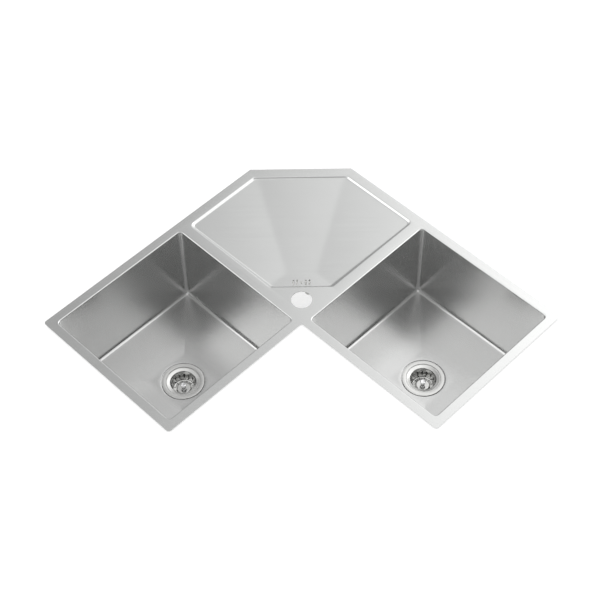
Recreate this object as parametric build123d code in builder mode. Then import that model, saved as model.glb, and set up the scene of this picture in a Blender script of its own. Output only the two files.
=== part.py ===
"""Corner kitchen sink: an L-shaped stainless deck with two square bowls and a pressed drainboard between them.

Millimetres, +Z up. The origin is the centre of the tap hole, on the deck's top face. The right leg runs
along +X and the left leg along -Y, so the two walls meet at the (-X, +Y) corner, which is cut off at 45
degrees. The sink is symmetric about the vertical plane through that corner and the tap hole.
"""

from build123d import *
import os
from math import radians, sqrt, tan

os.makedirs("parts", exist_ok=True)

# ------------------------------------------------------------ deck and bowls
DECK_SHEET = 1.5  # thickness of the deck panel
BOWL_SHEET = 1.2  # thickness of the bowls
BOWL_LENGTH = 420.0  # inside, along the leg
BOWL_WIDTH = 420.0  # inside, across the leg
BORDER = 25.0  # flat land between a bowl and the deck's outer edge
BOWL_SETBACK = 7.0  # from the notch's corner line to the bowl's near wall
CORNER_CUT = 195.0  # how far the 45 degree cut runs along each wall
LEG_CORNER_RADIUS = 8.0
CUT_CORNER_RADIUS = 2.0
NOTCH_CORNER_RADIUS = 1.5
DECK_EDGE_BREAK = 0.4
TAP_FROM_NOTCH = 53.5  # tap hole's centre from both lines of the inner notch
TAP_HOLE_RADIUS = 26.75
BOWL_CORNER_RADIUS = 10.0
BOWL_FLOOR_RADIUS = 9.5
RIM_BEND_RADIUS = 2.5  # where the deck turns down into a bowl
COLLAR_DEPTH = 6.0  # how far the turned-down collar reaches below the deck's top
FLOOR_DEPTH = 260.0  # deck top to the floor's edge
FLOOR_FALL = 6.0  # fall of the creased floor to the drain
SEAT_LAND = 4.0  # level strip round the strainer's seat

# ------------------------------------------------------------ drainboard
BOARD_BORDER = 28.0  # from the wall edges and the cut corner
BOARD_TO_BOWL = 32.5  # from a bowl's near wall
BOARD_TO_TAP = 40.5  # front edge to the tap hole's centre
BOARD_BEVEL_ANGLE = 45.0  # pressed edge, from the vertical
BOARD_BACK_DEPTH = 4.0
BOARD_OUTLET_DEPTH = 12.0
BOARD_SIDE_RADIUS = 14.0  # outline corners beside the bowls
BOARD_END_RADIUS = 3.0  # outline's other corners
CREASE_BACK_HALF = 117.0  # half the spread of the two creases at the back
CREASE_FRONT_HALF = 39.0  # and at the level facet
LEVEL_FACET_LENGTH = 44.0  # level facet that holds the slots
SLOT_LENGTH = 18.0
SLOT_WIDTH = 5.0
INNER_SLOT_OFFSET = 11.2
OUTER_SLOT_OFFSET = 20.8
SLOTS_FROM_BEVEL = 13.0  # slots' centre line from the foot of the front bevel

# ------------------------------------------------------------ strainers
SEAT_RADIUS = 59.0  # pressed seat in the bowl's floor
SEAT_DEPTH = 2.4
DRAIN_HOLE_RADIUS = 47.5
FLANGE_RADIUS = 57.0
FLANGE_SHEET = 1.2
FLANGE_EDGE = 0.8
FLANGE_SEAL = 1.0
RING_RADIUS = 46.0  # step inside the flange, where the basket's rim rests
RING_WALL = 1.0
LEDGE_DEPTH = 2.2
CUP_RADIUS = 42.0  # inside
CUP_WALL = 1.5
CUP_DEPTH = 46.0  # flange top to the edge of the cup's floor
CUP_FLOOR_FALL = 4.0
OUTLET_RADIUS = 20.0
OUTLET_THREAD_RADIUS = 24.0
OUTLET_LENGTH = 20.0
CROSS_BAR_WIDTH = 4.0
CROSS_BAR_THICKNESS = 2.5
CROSS_BAR_DROP = 1.0  # below the outlet's mouth
CROSS_HUB_RADIUS = 8.0
CROSS_HOLE_RADIUS = 5.0
GASKET_THICKNESS = 3.0
GASKET_RADIUS = 57.0
FRICTION_RING_THICKNESS = 1.0
FRICTION_RING_RADIUS = 55.5
LOCKNUT_HEIGHT = 12.0
LOCKNUT_RADIUS = 53.0
LOCKNUT_LUGS = 6
LOCKNUT_LUG_LENGTH = 5.0
LOCKNUT_LUG_WIDTH = 9.0
TAIL_RADIUS = 20.0
TAIL_WALL = 1.7
TAIL_LENGTH = 80.0
TAIL_FLANGE_RADIUS = 23.5
TAIL_FLANGE = 2.0
TAIL_NECK_RADIUS = 21.0  # thicker under the flange, where the coupling nut's lip runs
TAIL_WASHER = 2.5
COUPLING_RADIUS = 29.0
COUPLING_THREAD = 14.0
COUPLING_LIP = 3.0
COUPLING_GRIPS = 8
COUPLING_GRIP_LENGTH = 2.5
COUPLING_GRIP_WIDTH = 6.0

# ------------------------------------------------------------ baskets
BASKET_SHEET = 0.8
BASKET_RIM_CLEAR = 0.6
BASKET_RIM_WIDTH = 4.5
BASKET_LAND_FALL = 4.0  # cone between the rim and the mouth
BASKET_MOUTH_RADIUS = 33.5
BASKET_FLOOR_RADIUS = 30.0
BASKET_DEPTH = 37.0
HUB_RADIUS = 20.0
HUB_HEIGHT = 8.0
HUB_TAPER = 2.5
WALL_SLOTS = 16
WALL_SLOT_WIDTH = 3.0
WALL_SLOT_HEIGHT = 16.0
FLOOR_SLOTS = 12
FLOOR_SLOT_LENGTH = 6.0
FLOOR_SLOT_WIDTH = 2.5
KNOB_RADIUS = 7.5
KNOB_WAIST_RADIUS = 3.8
KNOB_FOOT_RADIUS = 6.0
KNOB_HEIGHT = 16.0
KNOB_RIM = 3.0
KNOB_ROUND = 1.0
STEM_RADIUS = 3.2
STOPPER_RADIUS = 23.5
STOPPER_THICKNESS = 4.0
STOPPER_HUB_RADIUS = 8.0
PIN_LENGTH = 9.0
PIN_RADIUS = 3.6
PIN_BARB_RADIUS = 4.4

# ------------------------------------------------------------ fittings under the deck
RIM_SEAL_INSET = 2.0
RIM_SEAL_WIDTH = 9.0
RIM_SEAL_THICKNESS = 3.0
WORKTOP = 30.0  # the claws are set for a worktop of this thickness
RAIL_SHEET = 1.2
RAIL_LENGTH = 50.0
RAIL_WIDTH = 8.5
RAIL_HEIGHT = 12.7
RAIL_INSET = 21.0  # back of the rail from the deck's outer edge
CLIP_AXIS_INSET = 16.0  # screw axis from the deck's outer edge
CLIP_SCREW_RADIUS = 2.5
CLIP_SCREW_LENGTH = 57.0
CLIP_HEAD_RADIUS = 3.5
CLIP_HEAD_HEIGHT = 3.6
CLIP_SLOT_WIDTH = 1.0
CLIP_SLOT_DEPTH = 1.2
CLAW_SHEET = 2.4
CLAW_WIDTH = 14.0
CLAW_BACK_INSET = 21.5
CLAW_TIP_INSET = 1.5
CLAW_TIP_HEIGHT = 6.2
CLAW_TEETH = 3
CLAW_TOOTH_DEPTH = 2.2
CLAW_BOSS_RADIUS = 5.5
CLAW_BOSS_HEIGHT = 6.0
PAD_THICKNESS = 3.0
WALL_PAD_LENGTH = 250.0
WALL_PAD_HEIGHT = 130.0
WALL_PAD_TOP = 80.0
FLOOR_PAD_LENGTH = 100.0
FLOOR_PAD_WIDTH = 120.0
FLOOR_PAD_FROM_SEAT = 18.0
BOARD_PAD_LENGTH = 240.0
BOARD_PAD_WIDTH = 200.0
BOARD_PAD_FROM_FACET = 20.0
FITTING_GASKET = 2.0
FITTING_LENGTH = 26.0
FITTING_WIDTH = 62.0
FITTING_WALL = 3.0
FITTING_DEPTH = 14.0
FITTING_CORNER = 5.0
FITTING_BOSS_RADIUS = 5.0
FITTING_SCREW_RADIUS = 2.0
FITTING_SCREW_LENGTH = 14.0
FITTING_HEAD_RADIUS = 3.4
FITTING_HEAD_HEIGHT = 1.8
SPIGOT_RADIUS = 8.0
SPIGOT_BORE = 6.0
SPIGOT_LENGTH = 24.0
SPIGOT_OFFSET = 17.0

# ------------------------------------------------------------ clearances
RUN_CLEAR = 0.3  # curved faces of pieces that move or screw together
SCREW_CLEAR = 0.1  # claw's threaded hole round its screw
FIT_CLEAR = 0.05  # stem in its hub, screw in its boss

# ------------------------------------------------------------ levels and places that follow from them
LEG_WIDTH = BOWL_WIDTH + 2 * BORDER
LEG_LENGTH = LEG_WIDTH + BOWL_SETBACK + BOWL_LENGTH + BORDER
WALL = LEG_WIDTH - TAP_FROM_NOTCH  # both walls from the tap hole's axis
BOWL_X = LEG_LENGTH - WALL - BORDER - BOWL_LENGTH / 2
BOWL_Y = WALL - BORDER - BOWL_WIDTH / 2
BOWL_NEAR = BOWL_X - BOWL_LENGTH / 2
DRAIN_LEVEL = -FLOOR_DEPTH - FLOOR_FALL
SEAT_LEVEL = DRAIN_LEVEL - SEAT_DEPTH
UNDER_SEAT = SEAT_LEVEL - BOWL_SHEET
FLANGE_UNDER = SEAT_LEVEL + FLANGE_SEAL
FLANGE_TOP = FLANGE_UNDER + FLANGE_SHEET
LEDGE_LEVEL = FLANGE_TOP - LEDGE_DEPTH
CUP_OUTSIDE = CUP_RADIUS + CUP_WALL
CUP_FLOOR = FLANGE_TOP - CUP_DEPTH
CUP_THROAT = CUP_FLOOR - CUP_FLOOR_FALL
OUTLET_END = CUP_THROAT - OUTLET_LENGTH
FRICTION_TOP = UNDER_SEAT - GASKET_THICKNESS
NUT_TOP = FRICTION_TOP - FRICTION_RING_THICKNESS
TAIL_TOP = OUTLET_END - TAIL_WASHER
TAIL_SHOULDER = TAIL_TOP - TAIL_FLANGE
TAIL_NECK_END = TAIL_SHOULDER - COUPLING_LIP - TAIL_FLANGE / 2
RIM_TOP = LEDGE_LEVEL + RUN_CLEAR + BASKET_SHEET
BASKET_FLOOR = RIM_TOP - BASKET_DEPTH
HUB_TOP = BASKET_FLOOR + HUB_HEIGHT
STOPPER_DROP = CUP_FLOOR_FALL * (CUP_RADIUS - STOPPER_RADIUS) / (CUP_RADIUS - OUTLET_RADIUS)
STOPPER_UNDER = CUP_FLOOR - STOPPER_DROP + RUN_CLEAR
RAIL_LIP = -DECK_SHEET - RAIL_HEIGHT + RAIL_SHEET  # top of the rail's lower flange
CLAW_TOP = -DECK_SHEET - RIM_SEAL_THICKNESS - WORKTOP - RUN_CLEAR - CLAW_TIP_HEIGHT
BOWL_OUTSIDE = (BOWL_LENGTH + 2 * BOWL_SHEET, BOWL_WIDTH + 2 * BOWL_SHEET)

MIRROR = Plane(origin=(0, 0, 0), x_dir=(1, -1, 0), z_dir=(1, 1, 0))  # the sink's plane of symmetry
TO_LEFT_BOWL = Location((-BOWL_X - BOWL_Y, -BOWL_X - BOWL_Y, 0))  # both bowls are the same square box
BOARD = Plane(origin=(0, 0, 0), x_dir=(1, -1, 0), z_dir=(0, 0, 1))  # x to the front, y to the right leg
BEVEL_RUN = tan(radians(BOARD_BEVEL_ANGLE))
FACET_FRONT = -BOARD_TO_TAP - BOARD_OUTLET_DEPTH * BEVEL_RUN
FACET_BACK = FACET_FRONT - LEVEL_FACET_LENGTH
SLOTS_X = FACET_FRONT - SLOTS_FROM_BEVEL
FACET_UNDER = -BOARD_OUTLET_DEPTH - DECK_SHEET
CUP_TOP = FACET_UNDER - FITTING_GASKET

DRAIN_SECTION = Plane(origin=(BOWL_X, BOWL_Y, 0), x_dir=(1, 0, 0), z_dir=(0, -1, 0))
DRAIN_AXIS = Axis((BOWL_X, BOWL_Y, 0), (0, 0, 1))


def save(piece, label):
    """Label a finished piece and write it under that name."""
    piece.label = label
    export_step(piece, f"parts/{label}.step")


def save_pair(piece, label):
    """Write the right bowl's piece and the same piece at the left bowl."""
    save(piece, f"right_{label}")
    save(piece.moved(TO_LEFT_BOWL), f"left_{label}")


def lowered(piece, distance):
    return piece.moved(Location((0, 0, -distance)))


# ------------------------------------------------------------ deck panel


def deck_face(inset):
    """The deck's L-shaped outline moved in by a distance, starting right of the cut corner, clockwise."""
    cut = CORNER_CUT + inset * (sqrt(2) - 1)
    near = WALL - inset
    far = LEG_LENGTH - WALL - inset
    notch = LEG_WIDTH - WALL - inset
    leg_radius = max(LEG_CORNER_RADIUS - inset, 0)
    cut_radius = max(CUT_CORNER_RADIUS - inset, 0)
    notch_radius = NOTCH_CORNER_RADIUS + inset
    corners = {
        (cut - WALL, near): cut_radius,
        (far, near): leg_radius,
        (far, -notch): leg_radius,
        (notch, -notch): notch_radius,
        (notch, -far): leg_radius,
        (-near, -far): leg_radius,
        (-near, WALL - cut): cut_radius,
    }
    with BuildSketch() as face:
        with BuildLine():
            FilletPolyline(*corners, radius=corners.values(), close=True)
        make_face()
    return face.sketch


def bowl_openings(growth):
    """Both bowls' rounded squares, grown on every side."""
    with BuildSketch() as openings:
        with Locations((BOWL_X, BOWL_Y)):
            RectangleRounded(
                BOWL_LENGTH + 2 * growth, BOWL_WIDTH + 2 * growth, BOWL_CORNER_RADIUS + growth
            )
        mirror(about=MIRROR)
    return openings.sketch


def board_outline():
    """Right half of the drainboard's outline on the BOARD plane: back, beside the bowl, and front corner."""
    back = (CORNER_CUT / 2 - WALL) * sqrt(2) + BOARD_BORDER
    to_wall = (WALL - BOARD_BORDER) * sqrt(2)
    to_bowl = (BOWL_NEAR - BOARD_TO_BOWL) * sqrt(2)
    side = ((to_bowl - to_wall) / 2, (to_bowl + to_wall) / 2)
    return (back, back + to_wall), side, (-BOARD_TO_TAP, to_bowl + BOARD_TO_TAP)


def sloping_facets():
    """Planes of the drainboard's middle facet and of the one on each side of it.

    The middle one falls straight to the front. A side one holds a crease's two ends and the floor's
    corner beside the bowl, so it falls to the crease as well.
    """
    back, side, _ = board_outline()
    behind = Vector(back[0] + BOARD_BACK_DEPTH * BEVEL_RUN, CREASE_BACK_HALF, -BOARD_BACK_DEPTH)
    ahead = Vector(FACET_BACK, CREASE_FRONT_HALF, -BOARD_OUTLET_DEPTH)
    corner = Vector(side[0], side[1], -BOARD_BACK_DEPTH)
    fall = (ahead - behind).cross(corner - behind)
    level_across = Vector(0, 1, 0).cross(behind - ahead)
    normals = [(ahead, level_across), (ahead, fall)]
    normals.append((Vector(ahead.X, -ahead.Y, ahead.Z), Vector(fall.X, -fall.Y, fall.Z)))
    return [
        Plane(
            origin=BOARD.from_local_coords(point),
            z_dir=BOARD.from_local_coords(normal if normal.Z > 0 else -normal),
        )
        for point, normal in normals
    ]


def board_space():
    """What the press pushes out of the flat deck: bevelled edges over a floor of four flat facets."""
    right = board_outline()
    left = [(x, -y) for x, y in reversed(right)]
    radii = (BOARD_END_RADIUS, BOARD_SIDE_RADIUS, BOARD_END_RADIUS)
    with BuildPart() as space:
        with BuildSketch(BOARD):
            with BuildLine():
                FilletPolyline(*right, *left, radius=(*radii, *radii), close=True)
            make_face()
        extrude(amount=-BOARD_OUTLET_DEPTH, taper=BOARD_BEVEL_ANGLE)
        for facet in sloping_facets():
            split(bisect_by=facet, keep=Keep.TOP)
    return space.part


BOARD_SPACE = board_space()
BOARD_UNDERSIDE = lowered(BOARD_SPACE, DECK_SHEET)

with BuildPart() as deck_panel:
    add(deck_face(0))
    extrude(amount=-DECK_SHEET)
    add(bowl_openings(DECK_SHEET))
    extrude(amount=-COLLAR_DEPTH)
    add(bowl_openings(0))
    extrude(amount=-COLLAR_DEPTH, mode=Mode.SUBTRACT)
    top = deck_panel.faces().sort_by(Axis.Z)[-1]
    fillet([edge for wire in top.inner_wires() for edge in wire.edges()], radius=RIM_BEND_RADIUS)
    top = deck_panel.faces().sort_by(Axis.Z)[-1]
    chamfer(top.outer_wire().edges(), length=DECK_EDGE_BREAK)
    add(BOARD_UNDERSIDE)
    add(BOARD_SPACE, mode=Mode.SUBTRACT)
    with BuildSketch(BOARD):
        Circle(TAP_HOLE_RADIUS)
    extrude(amount=-DECK_SHEET, mode=Mode.SUBTRACT)
    with BuildSketch(BOARD.offset(-BOARD_OUTLET_DEPTH)):
        for slot_y in (INNER_SLOT_OFFSET, OUTER_SLOT_OFFSET):
            with Locations((SLOTS_X, slot_y), (SLOTS_X, -slot_y)):
                SlotOverall(SLOT_LENGTH, SLOT_WIDTH)
        with Locations((SLOTS_X, 0)):
            Circle(FITTING_SCREW_RADIUS + RUN_CLEAR)
    extrude(amount=-DECK_SHEET, mode=Mode.SUBTRACT)
save(deck_panel.part, "deck_panel")

# ------------------------------------------------------------ bowls


def bowl_block(growth):
    """The right bowl's inside as a solid, grown by a sheet's thickness for its outside.

    The floor is four facets that fall to a level strip round the strainer's pressed seat.
    """
    floor = -FLOOR_DEPTH - growth
    with BuildPart() as block:
        with BuildSketch(Plane.XY.offset(-COLLAR_DEPTH)):
            with Locations((BOWL_X, BOWL_Y)):
                RectangleRounded(
                    BOWL_LENGTH + 2 * growth, BOWL_WIDTH + 2 * growth, BOWL_CORNER_RADIUS + growth
                )
        extrude(amount=floor + COLLAR_DEPTH)
        fillet(block.faces().sort_by(Axis.Z)[0].edges(), radius=BOWL_FLOOR_RADIUS + growth)
        with BuildSketch(Plane.XY.offset(floor)):
            with Locations((BOWL_X, BOWL_Y)):
                Rectangle(BOWL_LENGTH - 2 * BOWL_FLOOR_RADIUS, BOWL_WIDTH - 2 * BOWL_FLOOR_RADIUS)
        with BuildSketch(Plane.XY.offset(floor - FLOOR_FALL)):
            with Locations((BOWL_X, BOWL_Y)):
                Rectangle(2 * (SEAT_RADIUS + SEAT_LAND), 2 * (SEAT_RADIUS + SEAT_LAND))
        loft(ruled=True)
        with BuildSketch(Plane.XY.offset(floor)):
            with Locations((BOWL_X, BOWL_Y)):
                Circle(SEAT_RADIUS + growth)
        extrude(amount=-FLOOR_FALL - SEAT_DEPTH)
    return block.part


BOWL_INSIDE = bowl_block(0)
BOWL_BLOCK = bowl_block(BOWL_SHEET)

with BuildPart() as bowl:
    add(BOWL_BLOCK)
    add(BOWL_INSIDE, mode=Mode.SUBTRACT)
    with BuildSketch(Plane.XY.offset(SEAT_LEVEL)):
        with Locations((BOWL_X, BOWL_Y)):
            Circle(DRAIN_HOLE_RADIUS)
    extrude(amount=-BOWL_SHEET, mode=Mode.SUBTRACT)
save_pair(bowl.part, "bowl")

with BuildPart() as bowl_pads:
    reach = SEAT_RADIUS + FLOOR_PAD_FROM_SEAT + FLOOR_PAD_LENGTH / 2
    with BuildSketch(Plane.XY.offset(-FLOOR_DEPTH)):
        with Locations((BOWL_X + reach, BOWL_Y), (BOWL_X - reach, BOWL_Y)):
            Rectangle(FLOOR_PAD_LENGTH, FLOOR_PAD_WIDTH)
        with Locations((BOWL_X, BOWL_Y + reach), (BOWL_X, BOWL_Y - reach)):
            Rectangle(FLOOR_PAD_WIDTH, FLOOR_PAD_LENGTH)
    extrude(amount=-FLOOR_FALL - SEAT_DEPTH - PAD_THICKNESS)
    add(lowered(BOWL_BLOCK, PAD_THICKNESS), mode=Mode.INTERSECT)
    add(BOWL_BLOCK, mode=Mode.SUBTRACT)
    across = (BOWL_OUTSIDE[0] + PAD_THICKNESS) / 2
    along = (BOWL_OUTSIDE[1] + PAD_THICKNESS) / 2
    with BuildSketch(Plane.XY.offset(-WALL_PAD_TOP)):
        with Locations((BOWL_X + across, BOWL_Y), (BOWL_X - across, BOWL_Y)):
            Rectangle(PAD_THICKNESS, WALL_PAD_LENGTH)
        with Locations((BOWL_X, BOWL_Y + along), (BOWL_X, BOWL_Y - along)):
            Rectangle(WALL_PAD_LENGTH, PAD_THICKNESS)
    extrude(amount=-WALL_PAD_HEIGHT)
save_pair(bowl_pads.part, "bowl_pads")

with BuildPart() as drainboard_pad:
    with BuildSketch(BOARD):
        with Locations((FACET_BACK - BOARD_PAD_FROM_FACET - BOARD_PAD_LENGTH / 2, 0)):
            Rectangle(BOARD_PAD_LENGTH, BOARD_PAD_WIDTH)
    extrude(amount=FACET_UNDER - PAD_THICKNESS)
    add(lowered(BOARD_UNDERSIDE, PAD_THICKNESS), mode=Mode.INTERSECT)
    add(BOARD_UNDERSIDE, mode=Mode.SUBTRACT)
save(drainboard_pad.part, "drainboard_pad")

# ------------------------------------------------------------ strainers: turned pieces on the drain's axis


def turned(*profile):
    """Piece turned about the drain's axis from a closed half profile of (radius, height) points."""
    with BuildPart() as piece:
        with BuildSketch(DRAIN_SECTION):
            with BuildLine():
                Polyline(*profile, close=True)
            make_face()
        revolve(axis=DRAIN_AXIS)
    return piece.part


def ring(inner, outer, top, thickness):
    return turned((inner, top), (outer, top), (outer, top - thickness), (inner, top - thickness))


save_pair(ring(RING_RADIUS + RING_WALL + RUN_CLEAR, GASKET_RADIUS - FLANGE_EDGE, FLANGE_UNDER, FLANGE_SEAL),
          "flange_seal")

with BuildPart() as strainer_cup:
    with BuildSketch(DRAIN_SECTION):
        with BuildLine():
            Polyline(
                (FLANGE_RADIUS, FLANGE_UNDER),
                (FLANGE_RADIUS, FLANGE_TOP - FLANGE_EDGE),
                (FLANGE_RADIUS - FLANGE_EDGE, FLANGE_TOP),
                (RING_RADIUS, FLANGE_TOP),
                (RING_RADIUS, LEDGE_LEVEL),
                (CUP_RADIUS, LEDGE_LEVEL),
                (CUP_RADIUS, CUP_FLOOR),
                (OUTLET_RADIUS, CUP_THROAT),
                (OUTLET_RADIUS, OUTLET_END),
                (OUTLET_THREAD_RADIUS, OUTLET_END),
                (OUTLET_THREAD_RADIUS, CUP_THROAT - CUP_WALL),
                (CUP_OUTSIDE, CUP_FLOOR - CUP_WALL),
                (CUP_OUTSIDE, LEDGE_LEVEL - CUP_WALL),
                (RING_RADIUS + RING_WALL, LEDGE_LEVEL - CUP_WALL),
                (RING_RADIUS + RING_WALL, FLANGE_UNDER),
                close=True,
            )
        make_face()
    revolve(axis=DRAIN_AXIS)
    with BuildSketch(Plane.XY.offset(CUP_THROAT - CROSS_BAR_DROP)):
        with Locations((BOWL_X, BOWL_Y)):
            Rectangle(2 * OUTLET_RADIUS + CUP_WALL, CROSS_BAR_WIDTH)
            Rectangle(CROSS_BAR_WIDTH, 2 * OUTLET_RADIUS + CUP_WALL)
            Circle(CROSS_HUB_RADIUS)
            Circle(CROSS_HOLE_RADIUS, mode=Mode.SUBTRACT)
    extrude(amount=-CROSS_BAR_THICKNESS)
save_pair(strainer_cup.part, "strainer_cup")

save_pair(ring(RING_RADIUS + RING_WALL + RUN_CLEAR, GASKET_RADIUS, UNDER_SEAT, GASKET_THICKNESS),
          "strainer_gasket")
save_pair(ring(CUP_OUTSIDE + RUN_CLEAR, FRICTION_RING_RADIUS, FRICTION_TOP, FRICTION_RING_THICKNESS),
          "friction_ring")

with BuildPart() as locknut:
    add(ring(CUP_OUTSIDE + RUN_CLEAR, LOCKNUT_RADIUS, NUT_TOP, LOCKNUT_HEIGHT))
    with BuildSketch(Plane.XY.offset(NUT_TOP)):
        with Locations((BOWL_X, BOWL_Y)):
            with PolarLocations(LOCKNUT_RADIUS, LOCKNUT_LUGS):
                Rectangle(2 * LOCKNUT_LUG_LENGTH, LOCKNUT_LUG_WIDTH)
    extrude(amount=-LOCKNUT_HEIGHT)
save_pair(locknut.part, "locknut")

save_pair(ring(TAIL_RADIUS - TAIL_WALL, TAIL_FLANGE_RADIUS, OUTLET_END, TAIL_WASHER), "tailpiece_washer")
save_pair(
    turned(
        (TAIL_RADIUS - TAIL_WALL, TAIL_TOP),
        (TAIL_FLANGE_RADIUS, TAIL_TOP),
        (TAIL_FLANGE_RADIUS, TAIL_SHOULDER),
        (TAIL_NECK_RADIUS, TAIL_SHOULDER),
        (TAIL_NECK_RADIUS, TAIL_NECK_END),
        (TAIL_RADIUS, TAIL_NECK_END),
        (TAIL_RADIUS, TAIL_TOP - TAIL_LENGTH),
        (TAIL_RADIUS - TAIL_WALL, TAIL_TOP - TAIL_LENGTH),
    ),
    "tailpiece",
)

with BuildPart() as coupling_nut:
    nut_top = OUTLET_END + COUPLING_THREAD
    nut_end = TAIL_SHOULDER - COUPLING_LIP
    add(
        turned(
            (OUTLET_THREAD_RADIUS + RUN_CLEAR, nut_top),
            (COUPLING_RADIUS, nut_top),
            (COUPLING_RADIUS, nut_end),
            (TAIL_NECK_RADIUS + RUN_CLEAR, nut_end),
            (TAIL_NECK_RADIUS + RUN_CLEAR, TAIL_SHOULDER),
            (OUTLET_THREAD_RADIUS + RUN_CLEAR, TAIL_SHOULDER),
        )
    )
    with BuildSketch(Plane.XY.offset(nut_top)):
        with Locations((BOWL_X, BOWL_Y)):
            with PolarLocations(COUPLING_RADIUS, COUPLING_GRIPS):
                Rectangle(2 * COUPLING_GRIP_LENGTH, COUPLING_GRIP_WIDTH)
    extrude(amount=nut_end - nut_top)
save_pair(coupling_nut.part, "coupling_nut")

# ------------------------------------------------------------ lift-out baskets

with BuildPart() as basket:
    rim = RING_RADIUS - BASKET_RIM_CLEAR
    with BuildSketch(DRAIN_SECTION):
        with BuildLine():
            Polyline(
                (rim, RIM_TOP),
                (rim - BASKET_RIM_WIDTH, RIM_TOP),
                (BASKET_MOUTH_RADIUS, RIM_TOP - BASKET_LAND_FALL),
                (BASKET_FLOOR_RADIUS, BASKET_FLOOR),
                (HUB_RADIUS, BASKET_FLOOR),
                (HUB_RADIUS - HUB_TAPER, HUB_TOP),
                (STEM_RADIUS + FIT_CLEAR, HUB_TOP),
            )
            offset(amount=BASKET_SHEET, kind=Kind.INTERSECTION, side=Side.LEFT)
        make_face()
    revolve(axis=DRAIN_AXIS)
    with Locations((BOWL_X, BOWL_Y, (RIM_TOP - BASKET_LAND_FALL + BASKET_FLOOR) / 2)):
        with PolarLocations((BASKET_MOUTH_RADIUS + BASKET_FLOOR_RADIUS) / 2, WALL_SLOTS):
            Box(BASKET_LAND_FALL * 2, WALL_SLOT_WIDTH, WALL_SLOT_HEIGHT, mode=Mode.SUBTRACT)
    with Locations((BOWL_X, BOWL_Y, BASKET_FLOOR)):
        with PolarLocations((BASKET_FLOOR_RADIUS + HUB_RADIUS) / 2, FLOOR_SLOTS):
            Box(FLOOR_SLOT_LENGTH, FLOOR_SLOT_WIDTH, 2 * BASKET_SHEET, mode=Mode.SUBTRACT)
save_pair(basket.part, "basket")

with BuildPart() as basket_knob:
    foot = HUB_TOP
    with BuildSketch(DRAIN_SECTION):
        with BuildLine():
            Polyline(
                (KNOB_FOOT_RADIUS, foot),
                (STEM_RADIUS, foot),
                (STEM_RADIUS, STOPPER_UNDER),
                (0, STOPPER_UNDER),
                (0, foot + KNOB_HEIGHT),
                (KNOB_RADIUS - KNOB_ROUND, foot + KNOB_HEIGHT),
                (KNOB_RADIUS, foot + KNOB_HEIGHT - KNOB_ROUND),
                (KNOB_RADIUS, foot + KNOB_HEIGHT - KNOB_RIM),
                (KNOB_WAIST_RADIUS, foot + KNOB_HEIGHT - 2 * KNOB_RIM),
                (KNOB_WAIST_RADIUS, foot + KNOB_RIM),
                close=True,
            )
        make_face()
    revolve(axis=DRAIN_AXIS)
save_pair(basket_knob.part, "basket_knob")

save_pair(
    turned(
        (STEM_RADIUS + FIT_CLEAR, BASKET_FLOOR - BASKET_SHEET),
        (STOPPER_HUB_RADIUS, BASKET_FLOOR - BASKET_SHEET),
        (STOPPER_HUB_RADIUS, STOPPER_UNDER + 2 * STOPPER_THICKNESS),
        (STOPPER_RADIUS, STOPPER_UNDER + STOPPER_THICKNESS),
        (STOPPER_RADIUS, STOPPER_UNDER),
        (STEM_RADIUS + FIT_CLEAR, STOPPER_UNDER),
    ),
    "basket_stopper",
)
save_pair(
    turned(
        (0, STOPPER_UNDER),
        (PIN_RADIUS, STOPPER_UNDER),
        (PIN_RADIUS, STOPPER_UNDER - PIN_LENGTH / 2),
        (PIN_BARB_RADIUS, STOPPER_UNDER - PIN_LENGTH * 2 / 3),
        (PIN_RADIUS / 2, STOPPER_UNDER - PIN_LENGTH),
        (0, STOPPER_UNDER - PIN_LENGTH),
    ),
    "basket_pin",
)

# ------------------------------------------------------------ sealing strip under the rim

with BuildPart() as rim_seal:
    with BuildSketch(Plane.XY.offset(-DECK_SHEET)):
        add(deck_face(RIM_SEAL_INSET))
        add(deck_face(RIM_SEAL_INSET + RIM_SEAL_WIDTH), mode=Mode.SUBTRACT)
    extrude(amount=-RIM_SEAL_THICKNESS)
save(rim_seal.part, "rim_seal")

# ------------------------------------------------------------ drainboard's outlet fitting

with BuildPart() as outlet_gasket:
    with BuildSketch(BOARD.offset(FACET_UNDER)):
        with Locations((SLOTS_X, 0)):
            RectangleRounded(FITTING_LENGTH, FITTING_WIDTH, FITTING_CORNER)
            RectangleRounded(
                FITTING_LENGTH - 2 * FITTING_WALL,
                FITTING_WIDTH - 2 * FITTING_WALL,
                FITTING_CORNER - FITTING_WALL,
                mode=Mode.SUBTRACT,
            )
    extrude(amount=-FITTING_GASKET)
save(outlet_gasket.part, "outlet_gasket")

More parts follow.
